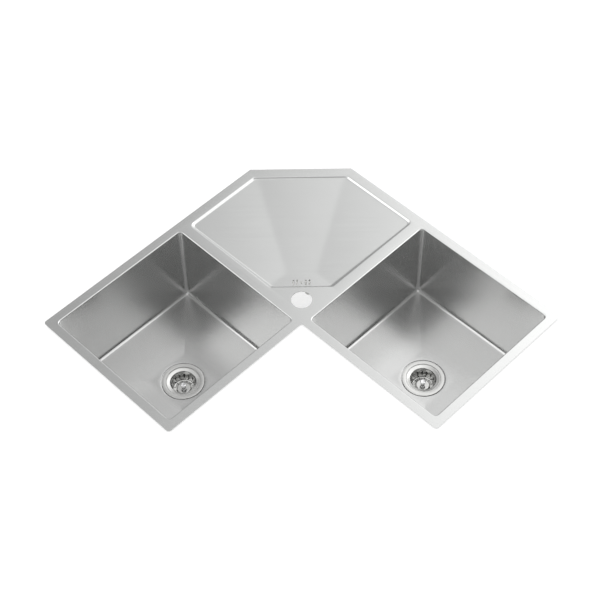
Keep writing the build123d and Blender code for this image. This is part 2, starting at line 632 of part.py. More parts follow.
with BuildPart() as outlet_cup:
    cup_end = CUP_TOP - FITTING_DEPTH
    with BuildSketch(BOARD.offset(CUP_TOP)):
        with Locations((SLOTS_X, 0)):
            RectangleRounded(FITTING_LENGTH, FITTING_WIDTH, FITTING_CORNER)
    extrude(amount=-FITTING_DEPTH)
    with BuildSketch(BOARD.offset(CUP_TOP)):
        with Locations((SLOTS_X, 0)):
            RectangleRounded(
                FITTING_LENGTH - 2 * FITTING_WALL,
                FITTING_WIDTH - 2 * FITTING_WALL,
                FITTING_CORNER - FITTING_WALL,
            )
            Circle(FITTING_BOSS_RADIUS, mode=Mode.SUBTRACT)
    extrude(amount=-FITTING_DEPTH + FITTING_WALL, mode=Mode.SUBTRACT)
    with BuildSketch(BOARD.offset(cup_end)):
        with Locations((SLOTS_X, SPIGOT_OFFSET)):
            Circle(SPIGOT_RADIUS)
    extrude(amount=-SPIGOT_LENGTH)
    with BuildSketch(BOARD.offset(cup_end + FITTING_WALL)):
        with Locations((SLOTS_X, SPIGOT_OFFSET)):
            Circle(SPIGOT_BORE)
    extrude(amount=-SPIGOT_LENGTH - FITTING_WALL, mode=Mode.SUBTRACT)
    with BuildSketch(BOARD.offset(CUP_TOP)):
        with Locations((SLOTS_X, 0)):
            Circle(FITTING_SCREW_RADIUS + FIT_CLEAR)
    extrude(amount=-FITTING_SCREW_LENGTH, mode=Mode.SUBTRACT)
save(outlet_cup.part, "outlet_cup")

with BuildPart() as outlet_screw:
    with BuildSketch(BOARD.offset(-BOARD_OUTLET_DEPTH)):
        with Locations((SLOTS_X, 0)):
            Circle(FITTING_HEAD_RADIUS)
    extrude(amount=FITTING_HEAD_HEIGHT)
    chamfer(outlet_screw.faces().sort_by(Axis.Z)[-1].edges(), length=FITTING_HEAD_HEIGHT / 3)
    with BuildSketch(BOARD.offset(-BOARD_OUTLET_DEPTH)):
        with Locations((SLOTS_X, 0)):
            Circle(FITTING_SCREW_RADIUS)
    extrude(amount=-FITTING_SCREW_LENGTH)
    with BuildSketch(BOARD.offset(-BOARD_OUTLET_DEPTH + FITTING_HEAD_HEIGHT)):
        with Locations((SLOTS_X, 0)):
            Rectangle(CLIP_SLOT_WIDTH, 2 * FITTING_HEAD_RADIUS)
    extrude(amount=-FITTING_HEAD_HEIGHT / 2, mode=Mode.SUBTRACT)
save(outlet_screw.part, "outlet_screw")

# ------------------------------------------------------------ fixing clips round the rim

# Right leg's clips, as a point on the deck's outer edge and the way out of the deck there:
# beside the drainboard, then at the middles of the bowl's wall side, end and front.
RIGHT_CLIPS = [
    (((CORNER_CUT + LEG_WIDTH) / 2 - WALL, WALL), (0, 1)),
    ((BOWL_X, WALL), (0, 1)),
    ((LEG_LENGTH - WALL, BOWL_Y), (1, 0)),
    ((BOWL_X, WALL - LEG_WIDTH), (0, -1)),
]
LEFT_CLIPS = [((-y, -x), (-out_y, -out_x)) for (x, y), (out_x, out_y) in RIGHT_CLIPS]


def clip_section(clip):
    """Upright plane across the rim: local x points out of the deck from its edge, local y up."""
    (x, y), (out_x, out_y) = clip
    return Plane(origin=(x, y, 0), x_dir=(out_x, out_y, 0), z_dir=(out_y, -out_x, 0))


def clip_axis(clip):
    (x, y), (out_x, out_y) = clip
    return x - out_x * CLIP_AXIS_INSET, y - out_y * CLIP_AXIS_INSET


CLIPS = RIGHT_CLIPS + LEFT_CLIPS
CLIP_AXES = [clip_axis(clip) for clip in CLIPS]

with BuildPart() as clip_rails:
    front = RAIL_WIDTH - RAIL_INSET
    bottom = -DECK_SHEET - RAIL_HEIGHT
    with BuildSketch(*[clip_section(clip) for clip in CLIPS]):
        with BuildLine():
            Polyline(
                (front, -DECK_SHEET),
                (-RAIL_INSET, -DECK_SHEET),
                (-RAIL_INSET, bottom),
                (front, bottom),
                (front, RAIL_LIP),
                (RAIL_SHEET - RAIL_INSET, RAIL_LIP),
                (RAIL_SHEET - RAIL_INSET, -DECK_SHEET - RAIL_SHEET),
                (front, -DECK_SHEET - RAIL_SHEET),
                close=True,
            )
        make_face()
    extrude(amount=RAIL_LENGTH / 2, both=True)
    with BuildSketch(Plane.XY.offset(RAIL_LIP)):
        with Locations(*CLIP_AXES):
            Circle(CLIP_SCREW_RADIUS + RUN_CLEAR)
    extrude(amount=-RAIL_SHEET, mode=Mode.SUBTRACT)
save(clip_rails.part, "clip_rails")

with BuildPart() as clip_screws:
    with BuildSketch(Plane.XY.offset(RAIL_LIP)):
        with Locations(*CLIP_AXES):
            RegularPolygon(CLIP_HEAD_RADIUS, side_count=6)
    extrude(amount=CLIP_HEAD_HEIGHT)
    with BuildSketch(Plane.XY.offset(RAIL_LIP)):
        with Locations(*CLIP_AXES):
            Circle(CLIP_SCREW_RADIUS)
    extrude(amount=-CLIP_SCREW_LENGTH)
    with BuildSketch(Plane.XY.offset(RAIL_LIP - CLIP_SCREW_LENGTH)):
        with Locations(*CLIP_AXES):
            Rectangle(CLIP_SLOT_WIDTH, 2 * CLIP_SCREW_RADIUS)
    extrude(amount=CLIP_SLOT_DEPTH, mode=Mode.SUBTRACT)
save(clip_screws.part, "clip_screws")


def clip_claw(clip):
    """Claw that climbs its screw: a plate with a threaded boss and an upturned, toothed end."""
    section = clip_section(clip)
    x_out = section.x_dir
    flat = Plane(origin=section.origin + Vector(0, 0, CLAW_TOP), x_dir=x_out, z_dir=(0, 0, 1))
    tip = Plane(origin=flat.origin - x_out * CLAW_TIP_INSET, x_dir=flat.y_dir, z_dir=x_out)
    pitch = CLAW_WIDTH / CLAW_TEETH
    teeth = [(-CLAW_WIDTH / 2, CLAW_TIP_HEIGHT)]
    for tooth in range(CLAW_TEETH):
        start = tooth * pitch - CLAW_WIDTH / 2
        teeth.append((start + pitch / 2, CLAW_TIP_HEIGHT - CLAW_TOOTH_DEPTH))
        teeth.append((start + pitch, CLAW_TIP_HEIGHT))
    with BuildPart() as claw:
        with BuildSketch(flat):
            with Locations((-(CLAW_BACK_INSET + CLAW_TIP_INSET) / 2, 0)):
                Rectangle(CLAW_BACK_INSET - CLAW_TIP_INSET, CLAW_WIDTH)
        extrude(amount=-CLAW_SHEET)
        with BuildSketch(tip):
            with BuildLine():
                Polyline((CLAW_WIDTH / 2, -CLAW_SHEET), (-CLAW_WIDTH / 2, -CLAW_SHEET), *teeth, close=True)
            make_face()
        extrude(amount=-CLAW_SHEET)
        with BuildSketch(flat):
            with Locations((-CLIP_AXIS_INSET, 0)):
                Circle(CLAW_BOSS_RADIUS)
        extrude(amount=-CLAW_BOSS_HEIGHT)
        with BuildSketch(flat):
            with Locations((-CLIP_AXIS_INSET, 0)):
                Circle(CLIP_SCREW_RADIUS + SCREW_CLEAR)
        extrude(amount=-CLAW_BOSS_HEIGHT, mode=Mode.SUBTRACT)
    return claw.part


for side, clips in (("right", RIGHT_CLIPS), ("left", LEFT_CLIPS)):
    for number, clip in enumerate(clips, start=1):
        save(clip_claw(clip), f"{side}_claw_{number}")
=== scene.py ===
from math import cos, radians, sin

import bmesh
import bpy
import numpy as np
from mathutils import Matrix, Vector
from mathutils.geometry import tessellate_polygon


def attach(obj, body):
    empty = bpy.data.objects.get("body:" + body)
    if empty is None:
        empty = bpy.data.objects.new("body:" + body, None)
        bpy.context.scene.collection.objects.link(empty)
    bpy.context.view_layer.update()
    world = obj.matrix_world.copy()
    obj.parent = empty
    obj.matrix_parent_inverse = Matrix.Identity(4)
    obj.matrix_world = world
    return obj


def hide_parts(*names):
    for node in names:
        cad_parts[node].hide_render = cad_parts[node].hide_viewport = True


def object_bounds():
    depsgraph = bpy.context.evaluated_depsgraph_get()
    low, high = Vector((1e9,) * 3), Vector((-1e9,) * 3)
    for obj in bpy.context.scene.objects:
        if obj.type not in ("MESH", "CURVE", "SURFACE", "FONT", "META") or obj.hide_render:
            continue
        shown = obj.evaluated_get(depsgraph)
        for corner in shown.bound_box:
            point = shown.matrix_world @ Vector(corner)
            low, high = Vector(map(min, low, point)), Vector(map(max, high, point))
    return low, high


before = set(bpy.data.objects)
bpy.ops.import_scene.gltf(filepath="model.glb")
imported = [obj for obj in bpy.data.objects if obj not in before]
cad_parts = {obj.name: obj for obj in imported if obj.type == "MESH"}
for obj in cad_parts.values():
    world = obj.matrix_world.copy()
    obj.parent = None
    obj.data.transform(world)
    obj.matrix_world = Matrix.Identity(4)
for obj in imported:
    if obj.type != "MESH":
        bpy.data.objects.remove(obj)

cad_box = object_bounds()

# ---------------------------------------------------------------- camera
# A long lens looks down over the inner notch of the L, from the side where a person stands at the sink. Its place,
# its turn and its lens come from the corners of the deck and the bowls in the photo.
CAMERA_PLACE = Vector((1.67979, -1.63827, 3.03006))
CAMERA_AZIMUTH = radians(45.813)
CAMERA_ELEVATION = radians(52.258)
CAMERA_ROLL = radians(-1.390)
CAMERA_LENS = 90.294
SENSOR_WIDTH = 36.0

camera_back = Vector(
    (
        sin(CAMERA_AZIMUTH) * cos(CAMERA_ELEVATION),
        -cos(CAMERA_AZIMUTH) * cos(CAMERA_ELEVATION),
        sin(CAMERA_ELEVATION),
    )
)
level_right = Vector((cos(CAMERA_AZIMUTH), sin(CAMERA_AZIMUTH), 0))
camera_right = cos(CAMERA_ROLL) * level_right + sin(CAMERA_ROLL) * camera_back.cross(level_right)
camera_up = camera_back.cross(camera_right)
camera_turn = Matrix((camera_right, camera_up, camera_back)).transposed().to_4x4()
camera_data = bpy.data.cameras.new("camera")
camera_data.lens = CAMERA_LENS
camera_data.sensor_width = SENSOR_WIDTH
camera_data.clip_end = 50.0
camera = bpy.data.objects.new("camera", camera_data)
camera.matrix_world = Matrix.Translation(CAMERA_PLACE) @ camera_turn
bpy.context.scene.collection.objects.link(camera)
bpy.context.scene.camera = camera
bpy.context.scene.view_settings.view_transform = "Standard"

# ---------------------------------------------------------------- studio
# A white room with a pale floor, one soft lamp overhead, and soft panels all round that only the metal mirrors.
# The front rims lie on a white worktop slab, cut out for the sink. It lies only at the front and the legs' ends, so
# that the bowls and the clips show from behind.
FLOOR_HALF = 6.0
FLOOR_LEVEL = cad_box[0].z - 0.001
WORKTOP_TOP, WORKTOP_BOTTOM = -0.0046, -0.0344
WORKTOP_REACH = 0.560  # from the legs' ends to the slab's front edges
WORKTOP_UNDERCUT = 0.036  # how far the front edges lean in towards the bottom
CUT_OUT_INSET = 0.0115  # from the deck's edge in to the cut-out
LEG_END, LEG_WALL, NOTCH_LINE = 0.5055, 0.4165, 0.0535
PAINT = 0.8  # reflectance of floor and slab, for the light that they give to other things
SEEN_PAINT, SEEN_GLOW = 0.62, 0.48  # the same where they are looked at: white, with faint shadows


def add_piece(name, points, faces, materials, corners=None):
    """Object at the origin with the given points and faces, and a UV place for each face corner if given."""
    mesh = bpy.data.meshes.new(name)
    mesh.from_pydata(np.asarray(points, float).tolist(), [], [list(map(int, face)) for face in faces])
    for material in materials:
        mesh.materials.append(material)
    if corners is not None:
        mesh.uv_layers.new(name="grain").data.foreach_set("uv", np.asarray(corners, float).ravel())
    piece = bpy.data.objects.new(name, mesh)
    bpy.context.scene.collection.objects.link(piece)
    return piece


def add_node(tree, kind, inputs=(), **settings):
    """Shader node with its settings made; each input is linked to a socket or set to a value."""
    node = tree.nodes.new(kind)
    for key, value in settings.items():
        setattr(node, key, value)
    for key, value in dict(inputs).items():
        if isinstance(value, bpy.types.NodeSocket):
            tree.links.new(value, node.inputs[key])
        else:
            node.inputs[key].default_value = value
    return node


def seen_directly(tree):
    """1 for the rays that look at the stage: from the camera, off metal and through clear pieces."""
    path = add_node(tree, "ShaderNodeLightPath").outputs
    looked_at = {0: path["Is Camera Ray"], 1: path["Is Glossy Ray"]}
    either = add_node(tree, "ShaderNodeMath", looked_at, operation="MAXIMUM").outputs[0]
    through = {0: either, 1: path["Is Transmission Ray"]}
    return add_node(tree, "ShaderNodeMath", through, operation="MAXIMUM").outputs[0]


def facing_up(points, triangles):
    """Triangles of a level area, each put counter-clockwise as seen from above."""
    triangles = np.array(triangles)
    a, b, c = (points[triangles[:, k], :2] for k in range(3))
    clockwise = (b - a)[:, 0] * (c - a)[:, 1] < (b - a)[:, 1] * (c - a)[:, 0]
    triangles[clockwise] = triangles[clockwise][:, ::-1]
    return triangles


studio_white = bpy.data.materials.new("studio_white")
studio_white.use_nodes = True
studio_white.cycles.emission_sampling = "NONE"
tree = studio_white.node_tree
tree.nodes.clear()
matt = add_node(tree, "ShaderNodeBsdfDiffuse", {"Color": (PAINT, PAINT, PAINT, 1)})
faint = add_node(tree, "ShaderNodeBsdfDiffuse", {"Color": (SEEN_PAINT, SEEN_PAINT, SEEN_PAINT, 1)})
glow = add_node(tree, "ShaderNodeEmission", {"Color": (1, 1, 1, 1), "Strength": SEEN_GLOW})
both = add_node(tree, "ShaderNodeAddShader", {0: faint.outputs[0], 1: glow.outputs[0]})
chosen = add_node(tree, "ShaderNodeMixShader", {0: seen_directly(tree), 1: matt.outputs[0], 2: both.outputs[0]})
add_node(tree, "ShaderNodeOutputMaterial", {"Surface": chosen.outputs[0]})

floor_corners = [(x * FLOOR_HALF, y * FLOOR_HALF, FLOOR_LEVEL) for x, y in ((-1, -1), (1, -1), (1, 1), (-1, 1))]
floor = add_piece("floor", floor_corners, [(0, 1, 2, 3)], [studio_white])

# the slab's outline, clockwise from its right back corner, and how each corner moves in at the bottom
front = LEG_END + WORKTOP_REACH
hole_side, hole_end, hole_notch = LEG_WALL - CUT_OUT_INSET, LEG_END - CUT_OUT_INSET, NOTCH_LINE - CUT_OUT_INSET
slab_outline = np.array(
    [
        (front, hole_side), (front, -front), (-hole_side, -front), (-hole_side, -hole_end),
        (hole_notch, -hole_end), (hole_notch, -hole_notch), (hole_end, -hole_notch), (hole_end, hole_side),
    ]
)
lean = np.zeros_like(slab_outline)
lean[:3] = np.array([(-1, 0), (-1, 1), (0, 1)]) * WORKTOP_UNDERCUT
count = len(slab_outline)
slab_top = np.column_stack((slab_outline, np.full(count, WORKTOP_TOP)))
slab_bottom = np.column_stack((slab_outline + lean, np.full(count, WORKTOP_BOTTOM)))
top_faces = facing_up(slab_top, tessellate_polygon([[Vector(point) for point in slab_top]]))
bottom_faces = top_faces[:, ::-1] + count
edge_faces = [(k, (k + 1) % count, (k + 1) % count + count, k + count) for k in range(count)]
slab_faces = [*top_faces, *bottom_faces, *edge_faces]
worktop = add_piece("worktop", np.vstack((slab_top, slab_bottom)), slab_faces, [studio_white])

# soft panels that the metal mirrors, each as degrees round from behind the sink to the right, degrees up and strength
PANELS = {
    "left": (270, 32, 1.18), "left_high": (270, 56, 0.55), "left_rear": (300, 32, 0.77),
    "rear": (30, 32, 0.80), "rear_high": (45, 56, 0.88), "rear_low": (0, 14, 0.20),
    "right_rear": (60, 32, 1.77), "right": (90, 32, 1.19),
    "front": (180, 8, 0.40), "front_right": (150, 8, 0.30), "front_left": (210, 8, 0.30),
}
PANEL_HALF_ANGLE = radians(34)
BETWEEN_PANELS = 0.51

world = bpy.data.worlds.new("studio")
world.use_nodes = True
world.cycles.sampling_method = "NONE"
bpy.context.scene.world = world
tree = world.node_tree
tree.nodes.clear()
direction = add_node(tree, "ShaderNodeTexCoord").outputs["Generated"]
behind = Vector((-camera_back.x, -camera_back.y, 0)).normalized()
strength = add_node(tree, "ShaderNodeValue").outputs[0]
strength.default_value = BETWEEN_PANELS
for turn, lift, peak in PANELS.values():
    level_way = cos(radians(turn)) * behind + sin(radians(turn)) * level_right
    way = cos(radians(lift)) * level_way + sin(radians(lift)) * Vector((0, 0, 1))
    facing = add_node(tree, "ShaderNodeVectorMath", {0: direction, 1: way}, operation="DOT_PRODUCT").outputs["Value"]
    limits = {"Value": facing, "From Min": cos(PANEL_HALF_ANGLE), "From Max": 1.0, "To Min": 0.0, "To Max": peak}
    panel = add_node(tree, "ShaderNodeMapRange", limits, interpolation_type="SMOOTHSTEP").outputs[0]
    strength = add_node(tree, "ShaderNodeMath", {0: strength, 1: panel}, operation="ADD").outputs[0]
white = add_node(tree, "ShaderNodeBackground", {"Color": (1, 1, 1, 1), "Strength": 1.0})
room = add_node(tree, "ShaderNodeBackground", {"Color": (1, 1, 1, 1), "Strength": strength})
mirrored = add_node(tree, "ShaderNodeLightPath").outputs["Is Glossy Ray"]
chosen = add_node(tree, "ShaderNodeMixShader", {0: mirrored, 1: white.outputs[0], 2: room.outputs[0]})
add_node(tree, "ShaderNodeOutputWorld", {"Surface": chosen.outputs[0]})

lamp_data = bpy.data.lights.new("light_overhead", "AREA")
lamp_data.shape = "SQUARE"
lamp_data.size = 2.2
lamp_data.energy = 8.4
lamp = bpy.data.objects.new("light_overhead", lamp_data)
lamp.location = (0.2, -0.2, 2.6)
lamp.rotation_euler = Vector(lamp.location).to_track_quat("Z", "Y").to_euler()
bpy.context.scene.collection.objects.link(lamp)

# ---------------------------------------------------------------- deck panel
# One sheet of brushed stainless steel, 1.5 mm thick, cut to the L with its wall corner off. The press bends it
# down into both bowls and draws the drainboard, whose flat facets fall to a level one with the outlet slots.
SHEET = 0.0015
CORNER_CUT = 0.195
LEG_CORNER, CUT_CORNER, NOTCH_CORNER = 0.008, 0.002, 0.0015
BOWL_HALF = 0.210
BOWL_CORNER = 0.010
RIM_BEND = 0.0025
COLLAR_END = -0.006
BOWL_CENTRES = {"right": (0.2705, 0.1815), "left": (-0.1815, -0.2705)}
TAP_HOLE = 0.02675
SIDE_STEPS, CORNER_STEPS = 24, 8
RING_POINTS = 4 * (SIDE_STEPS + CORNER_STEPS)
DIAGONAL = np.sqrt(0.5)

# the drainboard's own axes: p runs to the front along the sink's plane of symmetry, and q across to the right leg
BOARD_BACK, BOARD_FRONT = -0.42308, -0.0405
BOARD_WALL_LINE, BOARD_BOWL_LINE = 0.3885, 0.028
BOARD_SIDE_RADIUS = 0.014
BACK_LEVEL, OUTLET_LEVEL = -0.004, -0.012
FACET_BACK, FACET_FRONT = -0.4191, -0.0965  # the middle facet's ends
CREASE_BACK_HALF, CREASE_FRONT_HALF = 0.117, 0.039  # half its width there
SIDE_CORNER = (-0.2549, 0.2945)  # where a side facet is at the back's level, by the wall
CORNER_BLEND, CREASE_BLEND, LIP_BLEND, FOOT_BLEND = 0.0009, 0.00006, 0.0005, 0.0006
SLOTS_FROM_TAP = -0.0655
SLOT_HALF_LENGTH, SLOT_HALF_WIDTH = 0.009, 0.0025
SLOT_OFFSETS = (-0.0208, -0.0112, 0.0112, 0.0208)
SLOT_FIELD = (0.0096, 0.0252)  # half sizes of the level rectangle that holds the slots
SCREW_HOLE = 0.0023


def rounded(corners, radii, steps=8):
    """Closed line through corners, each rounded by an arc that touches both of its sides.

    The arc's centre lies on the corner's bisector, at radius over the sine of half the corner. The vector from the
    centre to the arc's first end turns evenly into the one to its last end.
    """
    corners = np.asarray(corners, float)
    radii = np.broadcast_to(np.asarray(radii, float), len(corners))
    to_last = np.roll(corners, 1, 0) - corners
    to_next = np.roll(corners, -1, 0) - corners
    to_last /= np.linalg.norm(to_last, axis=1, keepdims=True)
    to_next /= np.linalg.norm(to_next, axis=1, keepdims=True)
    half = np.arccos(np.clip((to_last * to_next).sum(1), -1, 1)) / 2
    run = (radii / np.tan(half))[:, None]
    bisector = (to_last + to_next) / np.linalg.norm(to_last + to_next, axis=1, keepdims=True)
    centre = corners + bisector * (radii / np.sin(half))[:, None]
    first, last = corners + to_last * run - centre, corners + to_next * run - centre
    turn = np.maximum(np.pi - 2 * half, 1e-6)[:, None, None]
    t = np.linspace(0, 1, steps + 1)[None, :, None]
    arcs = (np.sin((1 - t) * turn) * first[:, None] + np.sin(t * turn) * last[:, None]) / np.sin(turn)
    arcs += centre[:, None]
    return [arc if radius > 0 else corner[None] for arc, radius, corner in zip(arcs, radii, corners)]


def square_ring(half, radius):
    """Counter-clockwise rounded square: a square of half minus radius, moved out by radius along the turning normal.

    Returns the ring's points and, for each, the point of a square of half side 1 in the same direction.
    """
    t = np.linspace(0, 1, SIDE_STEPS + 1)[:-1]
    turning = np.linspace(0, np.pi / 2, CORNER_STEPS + 1)[:-1]
    corner_square = np.ones((CORNER_STEPS, 2))
    side_square = np.column_stack((1 - 2 * t, np.ones(SIDE_STEPS)))
    corner_normal = np.column_stack((np.cos(turning), np.sin(turning)))
    side_normal = np.column_stack((np.zeros(SIDE_STEPS), np.ones(SIDE_STEPS)))
    quarter = np.array([[0, 1], [-1, 0]])
    turns = [np.linalg.matrix_power(quarter, k) for k in range(4)]
    square = np.vstack([np.vstack((corner_square, side_square)) @ turn for turn in turns])
    normal = np.vstack([np.vstack((corner_normal, side_normal)) @ turn for turn in turns])
    points = square * (half - radius) + normal * radius
    return points, points / np.abs(points).max(1, keepdims=True)


def level_ring(half, z):
    """Rounded square at a height, whose corners stay concentric with the bowl's."""
    return np.column_stack((square_ring(half, BOWL_CORNER + half - BOWL_HALF)[0], np.full(RING_POINTS, z)))


def grid_faces(rows, columns, start=0, closed_rows=False):
    """Quads between neighbouring rows of a grid whose last column joins its first."""
    i, j = np.meshgrid(np.arange(rows if closed_rows else rows - 1), np.arange(columns), indexing="ij")
    below, beside = (i + 1) % rows, (j + 1) % columns
    quads = np.stack((i * columns + j, i * columns + beside, below * columns + beside, below * columns + j), -1)
    return quads.reshape(-1, 4) + start


def softly_higher(a, b, blend):
    """The higher of two heights, rounded over where they meet: blend times log(exp(a/blend) + exp(b/blend))."""
    return np.maximum(a, b) + blend * np.log1p(np.exp(-np.abs(a - b) / blend))


def board_inset(p, q):
    """Distance in from the drainboard's outline: the least distance from its sides, softened at its corners."""
    x, y = (p + q) * DIAGONAL, (q - p) * DIAGONAL

    def side(wall, bowl):
        """Distance in from a wall line and a bowl line that meet in a rounded corner."""
        short_of_wall = np.maximum(BOARD_SIDE_RADIUS - wall, 0)
        short_of_bowl = np.maximum(BOARD_SIDE_RADIUS - bowl, 0)
        nearest = np.minimum(wall, bowl)
        in_corner = BOARD_SIDE_RADIUS - np.hypot(short_of_wall, short_of_bowl)
        return np.where(nearest > BOARD_SIDE_RADIUS, nearest, in_corner)

    right = side(BOARD_WALL_LINE - y, BOARD_BOWL_LINE - x)
    left = side(BOARD_WALL_LINE + x, BOARD_BOWL_LINE + y)
    past_ends = softly_higher(BOARD_BACK - p, p - BOARD_FRONT, CORNER_BLEND)
    return -softly_higher(past_ends, softly_higher(-right, -left, CORNER_BLEND), CORNER_BLEND)


def board_height(p, q):
    """Height of the pressed drainboard: its 45 degree edge, or the highest of its four facets where that is higher.

    The middle facet falls evenly from the back's level to the outlet's. Each side facet is the plane through the
    middle facet's two corners on its side and its own corner by the wall. The last facet is level.
    """
    middle = BACK_LEVEL - (p - FACET_BACK) * (BACK_LEVEL - OUTLET_LEVEL) / (FACET_FRONT - FACET_BACK)
    ends = np.array([(1, FACET_BACK, CREASE_BACK_HALF), (1, FACET_FRONT, CREASE_FRONT_HALF), (1, *SIDE_CORNER)])
    level, fall, side_fall = np.linalg.solve(ends, np.array([BACK_LEVEL, OUTLET_LEVEL, BACK_LEVEL]))
    beside = level + fall * p + side_fall * np.abs(q)
    sloping = softly_higher(middle, beside, CREASE_BLEND)
    facets = softly_higher(sloping, np.full_like(p, OUTLET_LEVEL), CREASE_BLEND)
    inset = board_inset(p, q)
    edge = -softly_higher(inset, np.zeros_like(inset), LIP_BLEND)
    return softly_higher(edge, facets, FOOT_BLEND)


def to_plan(p, q):
    """Points of the drainboard's own axes as x and y of the sink."""
    return np.stack(((p + q) * DIAGONAL, (q - p) * DIAGONAL), -1)


def ray_reach(angles, inset):
    """How far each ray from the slots' middle runs to a given inset, found by halving."""
    near_end, far_end = np.zeros_like(angles), np.full_like(angles, 0.7)
    for _ in range(40):
        middle = (near_end + far_end) / 2
        inside = board_inset(SLOTS_FROM_TAP + middle * np.cos(angles), middle * np.sin(angles)) > inset
        near_end, far_end = np.where(inside, middle, near_end), np.where(inside, far_end, middle)
    return near_end


def from_slots(reach, angles):
    """Ends, in p and q, of rays of a given reach from the slots' middle."""
    return np.column_stack((SLOTS_FROM_TAP + reach * np.cos(angles), reach * np.sin(angles)))


outline_corners = {
    (CORNER_CUT - LEG_WALL, LEG_WALL): CUT_CORNER,
    (LEG_END, LEG_WALL): LEG_CORNER,
    (LEG_END, -NOTCH_LINE): LEG_CORNER,
    (NOTCH_LINE, -NOTCH_LINE): NOTCH_CORNER,
    (NOTCH_LINE, -LEG_END): LEG_CORNER,
    (-LEG_WALL, -LEG_END): LEG_CORNER,
    (-LEG_WALL, LEG_WALL - CORNER_CUT): CUT_CORNER,
}
outline = np.vstack(rounded(list(outline_corners), list(outline_corners.values())))
turns = np.linspace(0, 2 * np.pi, 65)[:-1]
tap_loop = TAP_HOLE * np.column_stack((np.cos(turns), np.sin(turns)))

# rays from the slots out to the board's outline, evenly spaced along it, carry rings of like inset over the pressed
# edge, and inside them rings that pass into the slots' field
RAYS = 400
INSETS = np.concatenate((np.linspace(-0.0022, 0.0140, 34), [0.0145]))
INNER_RINGS = 60
TURN_WEIGHT = 0.15  # metres of outline that a radian of turn counts for, so that no two rays lie too far apart

fine_angles = np.linspace(0, 2 * np.pi, 20001)
fine_line = from_slots(ray_reach(fine_angles, 0.0), fine_angles)
spacing = np.linalg.norm(np.diff(fine_line, axis=0), axis=1) + TURN_WEIGHT * np.diff(fine_angles)
along = np.concatenate(([0], np.cumsum(spacing)))
angles = np.interp(np.linspace(0, along[-1], RAYS + 1)[:-1], along, fine_angles)
edge_rings = np.array([from_slots(ray_reach(angles, inset), angles) for inset in INSETS])
field_reach = np.minimum(
    SLOT_FIELD[0] / np.maximum(np.abs(np.cos(angles)), 1e-6),
    SLOT_FIELD[1] / np.maximum(np.abs(np.sin(angles)), 1e-6),
)
steps = np.linspace(0, 1, INNER_RINGS + 1)[1:, None, None] ** 0.9
inner_rings = edge_rings[-1] + (from_slots(field_reach, angles) - edge_rings[-1]) * steps
board_rings = np.concatenate((edge_rings, inner_rings))
board_p, board_q = board_rings[..., 0], board_rings[..., 1]
board_z = np.minimum(board_height(board_p, board_q), 0.0)
board_z[0] = 0.0
board_z[-1] = OUTLET_LEVEL
board_grid = np.concatenate((to_plan(board_p, board_q), board_z[..., None]), -1)

# bend from the deck down into a bowl, as rows of ever smaller squares
turning = np.linspace(0, np.pi / 2, 8)
rim_halves = BOWL_HALF + np.concatenate(([RIM_BEND + 0.0006], RIM_BEND * (1 - np.sin(turning)), [0.0]))
rim_levels = np.concatenate(([0.0], RIM_BEND * (np.cos(turning) - 1), [COLLAR_END]))
rim_grid = np.array([level_ring(half, z) for half, z in zip(rim_halves, rim_levels)])

parts, faces = [], []


def append_points(points):
    """Adds points to the deck's mesh and returns the number of the first."""
    first = sum(map(len, parts))
    parts.append(points)
    return first


def append_grid(grid):
    """Adds a grid of rows with its faces to the deck's mesh and returns the number of its first point."""
    first = append_points(grid.reshape(-1, 3))
    faces.extend(grid_faces(*grid.shape[:2], first).tolist())
    return first


def append_loop(loop, z):
    """Adds a level loop to the deck's mesh and returns the number of its first point and the count of its points."""
    return append_points(np.column_stack((loop, np.full(len(loop), z)))), len(loop)


def fill_flat(loops):
    """Fills a level area with triangles, holes left open. Each loop is its first point's number and its count."""
    points = np.vstack(parts)
    numbers = np.concatenate([np.arange(first, first + count) for first, count in loops])
    lines = [[Vector(point) for point in points[first:first + count]] for first, count in loops]
    faces.extend(facing_up(points, numbers[np.array(tessellate_polygon(lines))]).tolist())


board_start = append_grid(board_grid)
loops = [append_loop(outline, 0.0), append_loop(tap_loop, 0.0), (board_start, RAYS)]
for centre in BOWL_CENTRES.values():
    loops.append((append_grid(rim_grid + np.array((*centre, 0.0))), RING_POINTS))
fill_flat(loops)

half_turn = np.linspace(0, np.pi, 9)
slot_end = np.column_stack((np.sin(half_turn), -np.cos(half_turn))) * SLOT_HALF_WIDTH
slot_end[:, 0] += SLOT_HALF_LENGTH - SLOT_HALF_WIDTH
slot_line = np.vstack((slot_end, -slot_end))
loops = [(board_start + (len(board_grid) - 1) * RAYS, RAYS)]
for offset in SLOT_OFFSETS:
    loops.append(append_loop(to_plan(slot_line[:, 0] + SLOTS_FROM_TAP, slot_line[:, 1] + offset), OUTLET_LEVEL))
screw_turns = turns[::4]
screw_loop = to_plan(SLOTS_FROM_TAP + SCREW_HOLE * np.cos(screw_turns), SCREW_HOLE * np.sin(screw_turns))
loops.append(append_loop(screw_loop, OUTLET_LEVEL))
fill_flat(loops)


def new_group(name, inputs):
    """Node group with the named inputs and a colour, a roughness and a height as its outputs."""
    group = bpy.data.node_groups.new(name, "ShaderNodeTree")
    for socket, kind in inputs.items():
        group.interface.new_socket(socket, in_out="INPUT", socket_type=f"NodeSocket{kind}")
    for socket, kind in {"Colour": "Color", "Roughness": "Float", "Height": "Float"}.items():
        group.interface.new_socket(socket, in_out="OUTPUT", socket_type=f"NodeSocket{kind}")
    return group


